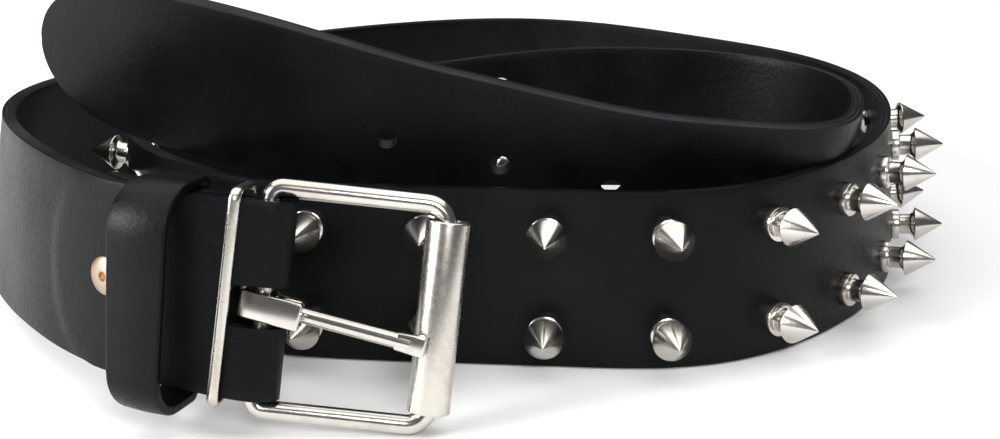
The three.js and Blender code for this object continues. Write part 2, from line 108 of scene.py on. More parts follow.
class Curve:
    """A monotone cubic through the rows of a table."""

    def __init__(self, rows: Sequence[tuple[float, float]]) -> None:
        """Prepares the slopes at the rows.

        Args:
            rows: pairs of share and value, in rising order of share.
        """
        self.at = [row[0] for row in rows]
        self.value = [row[1] for row in rows]
        spans = [b - a for a, b in zip(self.at, self.at[1:])]
        rises = [(b - a) / s for a, b, s in zip(self.value, self.value[1:], spans)]
        self.slope = [rises[0]]
        for i in range(1, len(rows) - 1):
            if rises[i - 1] * rises[i] <= 0:
                self.slope.append(0.0)
                continue
            before = spans[i - 1] + 2 * spans[i]
            after = spans[i] + 2 * spans[i - 1]
            self.slope.append((before + after) / (before / rises[i - 1] + after / rises[i]))
        self.slope.append(rises[-1])

    def __call__(self, share: float) -> float:
        """Reads the curve.

        Args:
            share: share of the strap's length.

        Returns:
            The value there.
        """
        i = 0
        while i < len(self.at) - 2 and self.at[i + 1] < share:
            i += 1
        span = self.at[i + 1] - self.at[i]
        t = min(max((share - self.at[i]) / span, 0.0), 1.0)
        rest = 1 - t
        return (
            self.value[i] * rest * rest * (1 + 2 * t)
            + self.value[i + 1] * t * t * (3 - 2 * t)
            + self.slope[i] * span * t * rest * rest
            - self.slope[i + 1] * span * t * t * rest
        )


@dataclass
class Course:
    """The line that the strap follows round the coil, in millimetres."""

    length: float = 1240.0
    width: float = 40.0
    thickness: float = 3.0
    start_x: float = -41.483
    start_y: float = -114.145
    start_z: float = 0.0
    steps: int = 620
    headings: tuple[tuple[float, float], ...] = (
        (0, 180), (0.035, 138), (0.066, 118), (0.092, 112), (0.117, 94), (0.148, 64), (0.199, 44),
        (0.26, 18), (0.321, -36), (0.351, -42), (0.381, -67), (0.412, -93), (0.447, -114),
        (0.488, -142), (0.529, -184), (0.569, -184), (0.6, -216), (0.63, -248), (0.655, -318),
        (0.697, -344), (0.752, -359), (0.793, -406), (0.819, -456), (0.839, -475), (0.86, -534),
        (0.885, -538), (0.925, -533), (0.966, -552), (1, -576),
    )
    rises: tuple[tuple[float, float], ...] = (
        (0, 0.212), (0.015, 0.25), (0.046, 0.26), (0.097, 0.12), (0.199, 0), (0.321, 0),
        (0.412, 0), (0.559, 0), (0.625, 0.01), (0.697, 0.12), (0.752, 0.25), (0.829, 0.24),
        (0.875, 0.34), (0.92, 0.64), (0.968, 1.05), (1, 1.17),
    )
    leans: tuple[tuple[float, float], ...] = (
        (0, 13), (0.015, 6), (0.046, 7), (0.097, 10), (0.199, 2), (0.321, 4), (0.412, 5),
        (0.559, 6), (0.625, 2), (0.697, -3), (0.752, -3), (0.829, -12), (0.875, -14), (0.92, -17),
        (0.968, -18), (1, -2),
    )
    plan: list[Vector] = field(default_factory=list)

    def __post_init__(self) -> None:
        """Walks along the headings once and keeps the points of the plan."""
        self.heading = Curve(self.headings)
        self.rise = Curve(self.rises)
        self.lean = Curve(self.leans)
        step = 1 / self.steps
        self.plan = [Vector((self.start_x, self.start_y))]
        for i in range(self.steps):
            angle = math.radians(self.heading((i + 0.5) * step))
            climb = self.middle((i + 1) * step) - self.middle(i * step)
            run = math.sqrt(max((step * self.length) ** 2 - climb**2, 0))
            self.plan.append(self.plan[-1] + run * Vector((math.cos(angle), math.sin(angle))))

    def middle(self, share: float) -> float:
        """Height of the leather's middle.

        Args:
            share: share of the strap's length.

        Returns:
            The height above the floor.
        """
        tilt = math.radians(self.lean(share))
        lower = self.width / 2 * math.cos(tilt) + self.thickness / 2 * abs(math.sin(tilt))
        return lower + self.rise(share) * self.width + self.start_z

    def axes(self, distance: float) -> tuple[Vector, Vector, Vector, Vector]:
        """The strap's own axes.

        Args:
            distance: distance along the strap from the buckle's bar.

        Returns:
            The middle of the leather, and the directions along, out of the coil and up.
        """
        inside = min(max(distance / self.length, 0.0), 1.0)
        place = inside * self.steps
        i = min(int(place), self.steps - 1)
        plan = self.plan[i].lerp(self.plan[i + 1], place - i)
        angle = math.radians(self.heading(inside))
        tilt = math.radians(self.lean(inside))
        behind = max(inside - 1 / self.steps, 0.0)
        ahead = min(inside + 1 / self.steps, 1.0)
        climb = (self.middle(ahead) - self.middle(behind)) / ((ahead - behind) * self.length)
        along = Vector((math.cos(angle), math.sin(angle), climb)).normalized()
        level = Vector((-math.sin(angle), math.cos(angle), 0))
        upright = along.cross(level)
        up = upright * math.cos(tilt) - level * math.sin(tilt)
        out = level * math.cos(tilt) + upright * math.sin(tilt)
        origin = Vector((plan.x, plan.y, self.middle(inside)))
        return origin + along * (distance - inside * self.length), along, out, up

    def point(self, distance: float, outward: float, upward: float) -> Vector:
        """A point on or near the strap, in millimetres.

        Args:
            distance: distance along the strap.
            outward: how far out of its middle.
            upward: how far up its width.

        Returns:
            The point in the row's frame.
        """
        origin, _, out, up = self.axes(distance)
        return origin + out * outward + up * upward

    def seat(self, distance: float, outward: float, upward: float, span: float) -> Matrix:
        """Places a rigid piece whose x points back to the buckle, y up and z out of the coil.

        Args:
            distance: distance along the strap.
            outward: how far out of its middle the piece's origin lies.
            upward: how far up its width.
            span: length of strap that the piece sits square on.

        Returns:
            The placing matrix, in metres, for a mesh in millimetres.
        """
        before = self.point(distance - span / 2, 0, upward)
        after = self.point(distance + span / 2, 0, upward)
        along = (after - before).normalized()
        out = self.axes(distance)[3].cross(along).normalized()
        up = along.cross(out)
        origin = (before + after) / 2 + out * outward
        turned = Matrix((-along, up, out)).transposed().to_4x4()
        return Matrix.Scale(MM, 4) @ Matrix.Translation(origin) @ turned


class Wire:
    """A value in a shader, on which Python's arithmetic adds maths nodes."""

    def __init__(self, shader: "Shader", socket: bpy.types.NodeSocket) -> None:
        """Keeps the shader and the socket."""
        self.shader = shader
        self.socket = socket

    def maths(self, operation: str, *values: object, clamp: bool = False) -> "Wire":
        """Adds one maths node.

        Args:
            operation: the node's operation.
            *values: its inputs.
            clamp: whether its result stays within 0 and 1.

        Returns:
            The node's result.
        """
        inputs = dict(enumerate(values))
        settings = {"operation": operation, "use_clamp": clamp}
        return self.shader.node("ShaderNodeMath", settings, inputs)

    def __add__(self, other: object) -> "Wire":
        """Sum."""
        return self.maths("ADD", self, other)

    def __radd__(self, other: object) -> "Wire":
        """Sum, reflected."""
        return self.maths("ADD", other, self)

    def __sub__(self, other: object) -> "Wire":
        """Difference."""
        return self.maths("SUBTRACT", self, other)

    def __rsub__(self, other: object) -> "Wire":
        """Difference, reflected."""
        return self.maths("SUBTRACT", other, self)

    def __mul__(self, other: object) -> "Wire":
        """Product."""
        return self.maths("MULTIPLY", self, other)

    def __rmul__(self, other: object) -> "Wire":
        """Product, reflected."""
        return self.maths("MULTIPLY", other, self)

    def __abs__(self) -> "Wire":
        """Size without sign."""
        return self.maths("ABSOLUTE", self)

    def ramp(self, low: float, high: float) -> "Wire":
        """Smooth rise from 0 at low to 1 at high, or a fall where low is above high.

        Args:
            low: where the result is 0.
            high: where the result is 1.

        Returns:
            The mask.
        """
        settings = {"interpolation_type": "SMOOTHSTEP"}
        values = {"Value": self, "From Min": low, "From Max": high}
        return self.shader.node("ShaderNodeMapRange", settings, values)


class Shader:
    """One procedural material and its nodes."""

    def __init__(self, name: str) -> None:
        """Starts a material with a plain principled shader.

        Args:
            name: the material's name.
        """
        self.material = bpy.data.materials.new(name)
        self.material.use_nodes = True
        self.tree = self.material.node_tree
        self.base = self.tree.nodes["Principled BSDF"]

    def node(
        self, kind: str, settings: dict[str, object], values: dict[object, object], out: object = 0
    ) -> Wire:
        """Adds a node.

        Args:
            kind: the node's type.
            settings: its own settings, set first.
            values: values or wires by socket name or number.
            out: name or number of the socket that is returned.

        Returns:
            The wire that leaves it.
        """
        made = self.tree.nodes.new(kind)
        for key, value in settings.items():
            setattr(made, key, value)
        for key, value in values.items():
            self.feed(made.inputs[key], value)
        return Wire(self, made.outputs[out])

    def feed(self, socket: bpy.types.NodeSocket, value: object) -> None:
        """Links a wire to a socket, or sets the socket's value.

        Args:
            socket: the socket to feed.
            value: a wire, a number or a tuple.
        """
        if isinstance(value, Wire):
            self.tree.links.new(value.socket, socket)
        else:
            socket.default_value = value

    def surface(self, **values: object) -> None:
        """Feeds the principled shader.

        Args:
            **values: values or wires, with underscores for spaces in socket names.
        """
        for key, value in values.items():
            self.feed(self.base.inputs[key.replace("_", " ")], value)

    def place(self) -> Wire:
        """The object's own coordinates."""
        return self.node("ShaderNodeTexCoord", {}, {}, "Object")

    def own(self, name: str) -> Wire:
        """A number that the piece's mesh carries."""
        return self.node("ShaderNodeAttribute", {"attribute_name": name}, {}, "Fac")

    def noise(self, scale: float, detail: float = 3.0, roughness: float = 0.5) -> Wire:
        """Noise over the object's coordinates.

        Args:
            scale: how many features lie in a metre.
            detail: octaves.
            roughness: strength of the finer octaves.

        Returns:
            The noise, about 0.5 on average.
        """
        values = {"Vector": self.place(), "Scale": scale, "Detail": detail, "Roughness": roughness}
        return self.node("ShaderNodeTexNoise", {}, values, "Fac")

    def cells(self, scale: float) -> Wire:
        """Distance from the nearest of many scattered points.

        Args:
            scale: how many cells lie in a metre.

        Returns:
            The distance, from 0 in a cell's middle.
        """
        values = {"Vector": self.place(), "Scale": scale}
        return self.node("ShaderNodeTexVoronoi", {"feature": "F1"}, values, "Distance")

    def mix(self, share: object, first: object, second: object) -> Wire:
        """Mixes two colours.

        Args:
            share: share of the second colour.
            first: colour at 0.
            second: colour at 1.

        Returns:
            The colour.
        """
        values = {"Factor": share, 6: first, 7: second}
        return self.node("ShaderNodeMix", {"data_type": "RGBA"}, values, 2)

    def bump(self, height: Wire, strength: float, distance: float) -> Wire:
        """Turns a height into a normal.

        Args:
            height: the height.
            strength: how much of it shows.
            distance: its size in metres.

        Returns:
            The normal.
        """
        values = {"Height": height, "Strength": strength, "Distance": distance}
        return self.node("ShaderNodeBump", {}, values)


@dataclass(frozen=True)
class Leather:
    """Black grained leather with painted edges and painted highlight lines along them."""

    name: str = "black_leather"
    dark: tuple[float, float, float, float] = (0.0016, 0.0019, 0.0021, 1)
    light: tuple[float, float, float, float] = (0.0042, 0.0055, 0.006, 1)
    edge: tuple[float, float, float, float] = (0.002, 0.0022, 0.0024, 1)
    # lighter colour of the painted highlight lines on the edge, where its corners catch the light
    edge_highlight: tuple[float, float, float, float] = (0.03, 0.033, 0.034, 1)
    grain_per_metre: float = 950.0
    fine_per_metre: float = 2600.0
    clouds_per_metre: float = 38.0

    def material(self) -> bpy.types.Material:
        """Builds the leather's nodes.

        Returns:
            The material.
        """
        shader = Shader(self.name)
        clouds = shader.noise(self.clouds_per_metre, 4, 0.6)
        pebble = shader.cells(self.grain_per_metre)
        fine = shader.noise(self.fine_per_metre, 2)
        worn = clouds.ramp(0.38, 0.66) * 0.75 + pebble.ramp(0.55, 0.1) * 0.25
        face = shader.mix(worn, self.dark, self.light)
        side = shader.own("rim").ramp(0.9, 0.985)
        depth = shader.own("depth")
        # Painted highlight: two lighter lines along the painted edge, the lower one fainter, stand in
        # for light caught near the edge's corners; they are colour only, with no groove in the bump.
        wander = shader.noise(150, 2) * 0.16 - 0.08
        upper = abs(depth + wander - 0.38).ramp(0.13, 0.03)
        lower = abs(depth + wander + 0.3).ramp(0.13, 0.03)
        edge_highlight_lines = (upper + lower * 0.7) * shader.noise(60, 2).ramp(0.35, 0.6)
        painted = shader.mix(edge_highlight_lines, self.edge, self.edge_highlight)
        grain = pebble * -0.8 + fine * 0.4 + shader.noise(260, 3) * 0.5
        rough = 0.27 + clouds * 0.18 + pebble * 0.1 - side * 0.05
        shader.surface(
            Base_Color=shader.mix(side, face, painted),
            Roughness=rough,
            Normal=shader.bump(grain, 0.22, 0.00025),
            Specular_IOR_Level=0.13,
        )
        return shader.material


@dataclass(frozen=True)
class Metal:
    """Polished or brushed metal."""

    name: str
    colour: tuple[float, float, float, float]
    shade: tuple[float, float, float, float]
    roughness: float
    spread: float
    marks_per_metre: float = 420.0
    relief: float = 0.05
    dot_at: tuple[float, float, float] | None = None
    dot_radius: float = 0.0
    dot: tuple[float, float, float, float] = (0.28, 0.14, 0.06, 1)

    def material(self) -> bpy.types.Material:
        """Builds the metal's nodes.

        Returns:
            The material.
        """
        shader = Shader(self.name)
        tarnish = shader.noise(90, 4, 0.65)
        marks = shader.noise(self.marks_per_metre, 3, 0.6)
        colour = shader.mix(tarnish.ramp(0.4, 0.7), self.colour, self.shade)
        if self.dot_at:
            settings = {"operation": "DISTANCE"}
            values = {0: shader.place(), 1: self.dot_at}
            far = shader.node("ShaderNodeVectorMath", settings, values, "Value")
            inside = far.ramp(self.dot_radius * 1.25, self.dot_radius * 0.8)
            colour = shader.mix(inside, colour, self.dot)
        shader.surface(
            Base_Color=colour,
            Metallic=1.0,
            Roughness=marks * self.spread + tarnish * self.spread + (self.roughness - self.spread),
            Normal=shader.bump(marks, self.relief, 0.0001),
        )
        return shader.material


class Bench:
    """Modelling steps that the sub-assemblies share. Meshes are in millimetres until placed."""

    @staticmethod
    def clear() -> None:
        """Leaves edit mode with nothing selected."""
        if bpy.context.mode != "OBJECT":
            bpy.ops.object.mode_set(mode="OBJECT")
        bpy.ops.object.select_all(action="DESELECT")

    @staticmethod
    def select(piece: bpy.types.Object) -> None:
        """Makes one piece the selected and active one."""
        Bench.clear()
        piece.select_set(True)
        bpy.context.view_layer.objects.active = piece

    @staticmethod
    def edit(piece: bpy.types.Object, mode: str = "FACE") -> None:
        """Opens a piece in edit mode with nothing selected.

        Args:
            piece: the piece.
            mode: VERT, EDGE or FACE.
        """
        Bench.select(piece)
        bpy.ops.object.mode_set(mode="EDIT")
        bpy.ops.mesh.select_mode(type=mode)
        bpy.ops.mesh.select_all(action="DESELECT")

    @staticmethod
    def modify(piece: bpy.types.Object, kind: str, **settings: object) -> None:
        """Adds a modifier and applies it.

        Args:
            piece: the piece.
            kind: the modifier's type.
            **settings: its settings.
        """
        Bench.select(piece)
        modifier = piece.modifiers.new(kind.lower(), kind)
        for key, value in settings.items():
            setattr(modifier, key, value)
        bpy.ops.object.modifier_apply(modifier=modifier.name)

    @staticmethod
    def closed(piece: bpy.types.Object) -> None:
        """Merges doubled points and turns all faces outwards."""
        Bench.edit(piece, "VERT")
        bpy.ops.mesh.select_all(action="SELECT")
        bpy.ops.mesh.remove_doubles(threshold=0.001)
        bpy.ops.mesh.normals_make_consistent(inside=False)
        Bench.clear()

    @staticmethod
    def moved(piece: bpy.types.Object, move: Callable[[Vector], Vector]) -> None:
        """Moves every point of a piece.

        Args:
            piece: the piece.
            move: gives a point's new place from its old one.
        """
        for vertex in piece.data.vertices:
            vertex.co = move(vertex.co.copy())
        piece.data.update()

    @staticmethod
    def turned(profile: Sequence[tuple[float, float]], sides: int) -> bpy.types.Object:
        """Turns a solid on the z axis by extruding and resizing a disc.

        Args:
            profile: radius and height of each ring, from the bottom to the top.
            sides: sides of the disc.

        Returns:
            The piece.
        """
        Bench.clear()
        radius, height = profile[0]
        bpy.ops.mesh.primitive_circle_add(
            vertices=sides, radius=radius, fill_type="NGON", location=(0, 0, height)
        )
        piece = bpy.context.object
        bpy.ops.object.transform_apply(location=True, rotation=True, scale=True)
        bpy.ops.object.mode_set(mode="EDIT")
        bpy.ops.mesh.select_mode(type="FACE")
        bpy.ops.mesh.select_all(action="SELECT")
        for wider, higher in profile[1:]:
            move = {"value": (0, 0, higher - height)}
            bpy.ops.mesh.extrude_region_move(TRANSFORM_OT_translate=move)
            share = wider / radius
            bpy.ops.transform.resize(value=(share, share, 1), center_override=(0, 0, higher))
            radius, height = wider, higher
        Bench.closed(piece)
        return piece

    @staticmethod
    def block(
        low: Sequence[float], high: Sequence[float], round_edge: float, segments: int = 3
    ) -> bpy.types.Object:
        """A block with rounded edges.

        Args:
            low: its lowest corner.
            high: its highest corner.
            round_edge: width of the rounding.
            segments: steps of the rounding.

        Returns:
            The piece.
        """
        Bench.clear()
        middle = [(a + b) / 2 for a, b in zip(low, high)]
        size = [b - a for a, b in zip(low, high)]
        bpy.ops.mesh.primitive_cube_add(size=1, location=middle)
        piece = bpy.context.object
        piece.scale = size
        bpy.ops.object.transform_apply(location=True, rotation=True, scale=True)
        Bench.modify(piece, "BEVEL", width=round_edge, segments=segments, limit_method="NONE")
        return piece

    @staticmethod
    def joined(pieces: Sequence[bpy.types.Object]) -> bpy.types.Object:
        """Joins pieces into the first of them."""
        Bench.select(pieces[0])
        for piece in pieces[1:]:
            piece.select_set(True)
        bpy.ops.object.join()
        return pieces[0]

    @staticmethod
    def dressed(
        piece: bpy.types.Object,
        name: str,
        body: Body,
        slot: Slot,
        material: bpy.types.Material,
        nodes: Sequence[str],
        angle: float = 35,
    ) -> bpy.types.Object:
        """Names, smooths and finishes a piece and hands it to its body.

        Args:
            piece: the piece, placed and in metres.
            name: its name.
            body: the body that it rides on.
            slot: the record's material slot; not used.
            material: its finish.
            nodes: the nodes that it stands for.
            angle: faces that meet at less than this are smoothed together, in degrees.

        Returns:
            The same piece.
        """
        Bench.select(piece)
        bpy.ops.object.shade_smooth_by_angle(angle=math.radians(angle))
        piece.name = name
        piece.data.name = name
        piece.data.materials.clear()
        piece.data.materials.append(material)
        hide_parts(*nodes)
        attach(piece, body.value)
        LOG.info("%s: %d faces", name, len(piece.data.polygons))
        return piece


def rounded_loop(
    width: float, height: float, left: float, right: float, corner: int, side: int
) -> list[tuple[Vector, Vector]]:
    """Knots round a rectangle with rounded corners.

    Args:
        width: size along x.
        height: size along y.
        left: radius of the corners at low x.
        right: radius of the corners at high x.
        corner: steps in each corner.
        side: steps along each side.

    Returns:
        The centre and outward direction of each knot.
    """
    corners = (
        (width / 2, height / 2, right, 0),
        (-width / 2, height / 2, left, 90),
        (-width / 2, -height / 2, left, 180),
        (width / 2, -height / 2, right, 270),
    )
    knots: list[tuple[Vector, Vector]] = []
    for x, y, radius, start in corners:
        middle = Vector((x - math.copysign(radius, x), y - math.copysign(radius, y)))
        for i in range(corner + 1):
            angle = math.radians(start + 90 * i / corner)
            outward = Vector((math.cos(angle), math.sin(angle)))
            knots.append((middle + outward * radius, outward))
        following = corners[(corners.index((x, y, radius, start)) + 1) % 4]
        nx, ny, nradius, nstart = following
        nmiddle = Vector((nx - math.copysign(nradius, nx), ny - math.copysign(nradius, ny)))
        nangle = math.radians(nstart)
        goal = nmiddle + Vector((math.cos(nangle), math.sin(nangle))) * nradius
        begin, outward = knots[-1]
        for i in range(1, side):
            knots.append((begin.lerp(goal, i / side), outward))
    return knots


def swept(
    knots: Sequence[tuple[Vector, Vector]], across: float, deep: float, sides: int
) -> bpy.types.Object:
    """A rod bent round knots in the x-y plane, made from a torus.

    Args:
        knots: centre and outward direction of each ring.
        across: the rod's size in the plane.
        deep: its size out of the plane.
        sides: sides of the rod.

    Returns:
        The piece.
    """
    Bench.clear()
    far = 100.0
    bpy.ops.mesh.primitive_torus_add(
        major_segments=len(knots), minor_segments=sides, major_radius=far, minor_radius=1
    )
    piece = bpy.context.object

    def move(point: Vector) -> Vector:
        """Carries a point from its ring of the torus to the matching knot."""
        turn = math.atan2(point.y, point.x) / math.tau * len(knots)
        centre, outward = knots[round(turn) % len(knots)]
        off = (math.hypot(point.x, point.y) - far) * across / 2
        return Vector((centre.x + outward.x * off, centre.y + outward.y * off, point.z * deep / 2))

    Bench.moved(piece, move)
    Bench.closed(piece)
    return piece


@dataclass
class Strap:
    """The long leather strap with its fold round the bar."""

    course: Course
    leather: bpy.types.Material
    thickness: float = 3.3
    tip_length: float = 38.0
    fold_back: float = 50.0
    fold_back_end: float = 14.0
    fold_closing: float = 15.0
    rod: float = 4.0
    gap: float = 0.3
    pitch: float = 2.0
    rows: int = 18
    hole: float = 5.0
    hole_count: int = 5
    hole_pitch: float = 26.6
    last_hole: float = 86.5
    slot_reach: float = 6.0
    slot_height: float = 8.4
    slot_drop: float = 1.2
    print_through: float = 0.7

    def __post_init__(self) -> None:
        """Works out the fold."""
        self.fold_radius = self.rod / 2 + self.gap + self.course.thickness / 2
        self.fold_length = math.pi * self.fold_radius
        self.layer = self.course.thickness + self.gap
        self.start = -self.fold_length - self.fold_back

    def centre(self, place: float) -> tuple[float, float]:
        """Middle of the leather beside the course.

        Args:
            place: place along the leather, negative past the bar.

        Returns:
            Distance along the course and offset out of the coil.
        """
        if place >= 0:
            return place, 0.0
        if place >= -self.fold_length:
            angle = -place / self.fold_radius
            return (
                -self.fold_radius * math.sin(angle),
                -self.fold_radius + self.fold_radius * math.cos(angle),
            )
        back = -self.fold_length - place
        closed = smoothstep(back, self.rod / 2 + self.gap, self.fold_closing)
        return back, -2 * self.fold_radius + (2 * self.fold_radius - self.layer) * closed

    def outward(self, place: float) -> tuple[float, float]:
        """Direction from the middle of the leather to its outer face, in the same two axes."""
        ahead = self.centre(place + 0.05)
        behind = self.centre(place - 0.05)
        travel = Vector((ahead[0] - behind[0], ahead[1] - behind[1])).normalized()
        return -travel.y, travel.x

    def half_width(self, place: float) -> float:
        """Half width of the leather, with half ellipses at both ends."""
        tip = (self.course.length - place) / self.tip_length
        fold = (place - self.start) / self.fold_back_end
        near = min(max(min(tip, fold), 0.0), 1.0)
        return self.course.width / 2 * math.sqrt(max(1 - (1 - near) ** 2, 0.0))

    def places(self) -> list[float]:
        """Places of the columns along the leather, closer together at its ends and its fold."""
        tip_from = self.course.length - self.tip_length
        places = [
            self.start + self.fold_back_end * (1 - math.cos(math.radians(6 * i)))
            for i in range(1, 16)
        ]
        flat = self.start + self.fold_back_end
        count = round((-self.fold_length - flat) / self.pitch)
        places += [flat + (-self.fold_length - flat) * i / count for i in range(1, count)]
        places += [-self.fold_length * (1 - i / 14) for i in range(15)]
        count = round(tip_from / self.pitch)
        places += [tip_from * i / count for i in range(1, count)]
        places += [
            tip_from + self.tip_length * math.sin(math.radians(4.5 * i)) for i in range(20)
        ]
        return places

    def cutters(self) -> bpy.types.Object:
        """The punches for the buckle holes and the prong's slot, joined."""
        punches = []
        for i in range(self.hole_count):
            Bench.clear()
            place = self.course.length - self.last_hole - i * self.hole_pitch
            bpy.ops.mesh.primitive_cylinder_add(
                vertices=28, radius=self.hole / 2, depth=12, location=(place, 0, 0)
            )
            bpy.ops.object.transform_apply(location=True, rotation=True, scale=True)
            punches.append(bpy.context.object)
        low = (-self.fold_length - self.slot_reach, -self.slot_drop - self.slot_height / 2, -6)
        high = (self.slot_reach, -self.slot_drop + self.slot_height / 2, 6)
        punches.append(Bench.block(low, high, 1.8))
        return Bench.joined(punches)

    def build(self) -> bpy.types.Object:
        """Models the strap flat, cuts it, bends it along its course and dresses it.

        Returns:
            The piece.
        """
        places = self.places()
        Bench.clear()
        bpy.ops.mesh.primitive_grid_add(
            x_subdivisions=len(places) - 1, y_subdivisions=self.rows, size=2
        )
        piece = bpy.context.object

        def flat(point: Vector) -> Vector:
            """Spreads the grid over the flat leather."""
            place = places[round((point.x + 1) / 2 * (len(places) - 1))]
            return Vector((place, point.y * self.half_width(place), 0))

        Bench.moved(piece, flat)
        Bench.modify(piece, "SOLIDIFY", thickness=self.thickness, offset=0)
        Bench.modify(
            piece, "BEVEL", width=0.55, segments=3, limit_method="ANGLE",
            angle_limit=math.radians(50),
        )
        Bench.closed(piece)
        punch = self.cutters()
        Bench.modify(piece, "BOOLEAN", operation="DIFFERENCE", object=punch, solver="EXACT")
        bpy.data.objects.remove(punch)
        self.mark(piece)
        Bench.moved(piece, self.bent)
        Bench.closed(piece)
        Bench.moved(piece, lambda point: point * MM)
        return Bench.dressed(
            piece, "strap_leather", Body.BELT, Slot.LEATHER, self.leather, ["strap"], 40
        )

    def mark(self, piece: bpy.types.Object) -> None:
        """Stores how near each point is to the leather's rim and how deep it lies.

        Args:
            piece: the flat strap.
        """
        mesh = piece.data
        rim = mesh.attributes.new("rim", "FLOAT", "POINT")
        depth = mesh.attributes.new("depth", "FLOAT", "POINT")
        for i, vertex in enumerate(mesh.vertices):
            x, y, z = vertex.co
            inset = self.half_width(x) - abs(y)
            rim.data[i].value = 1 - min(max(inset / 3, 0.0), 1.0)
            depth.data[i].value = 2 * z / self.thickness

    def bent(self, point: Vector) -> Vector:
        """Carries a point of the flat leather to the coil.

        Args:
            point: place, height and depth in the flat leather.

        Returns:
            Its place in the row's frame, in millimetres.
        """
        distance, offset = self.centre(point.x)
        side, out = self.outward(point.x)
        proud = 0.0
        if 0 <= point.x < 90:
            up = min(abs(point.y) / (self.course.width / 2), 1.0)
            end = self.fold_back - self.fold_back_end * (1 - math.sqrt(1 - up * up))
            proud = self.print_through * (1 - smoothstep(point.x, end - 0.5, end + 3))
            proud *= smoothstep(point.x, 0, 20)
        return self.course.point(
            distance + side * point.z, offset + proud + out * point.z, point.y
        )


@dataclass
class Studs:
    """Two rows of turned studs with waisted necks and sharp cones."""

    course: Course
    nickel: bpy.types.Material
    columns: int = 20
    pitch: float = 26.6
    first: float = 398.0
    facet: float = 26.6 / 3
    profile: tuple[tuple[float, float], ...] = (
        (0.9, -4.75), (2.2, -4.65), (3.0, -4.35), (3.4, -3.85), (3.4, -3.2), (1.8, -3.15),
        (1.8, -0.15), (3.75, -0.15), (3.98, 0.0), (4.05, 0.25), (4.05, 1.95), (3.95, 2.2),
        (3.7, 2.35), (2.85, 2.4), (2.7, 2.6), (2.7, 5.0), (2.85, 5.4), (3.3, 5.85), (3.95, 6.2),
        (4.42, 6.35), (4.5, 6.5), (4.42, 6.75), (0.42, 13.3), (0.28, 13.52), (0.08, 13.6),
    )

    def build(self) -> list[bpy.types.Object]:
        """Turns one stud, copies it along both rows and removes the pattern.

        Returns:
            The studs.
        """
        pattern = Bench.turned(self.profile, 40)
        made = []
        for row in Row:
            for i in range(self.columns):
                label = f"{row.name.lower()}_{i + 1:02d}"
                stud = bpy.data.objects.new("stud", pattern.data.copy())
                bpy.context.collection.objects.link(stud)
                distance = self.first + i * self.pitch
                seat = self.course.seat(
                    distance, self.course.thickness / 2, row.value, self.facet
                )
                stud.data.transform(seat)
                made.append(
                    Bench.dressed(
                        stud, f"spike_{label}", Body.BELT, Slot.NICKEL, self.nickel,
                        [f"stud_{label}"], 30,
                    )
                )
        bpy.data.objects.remove(pattern)
        return made


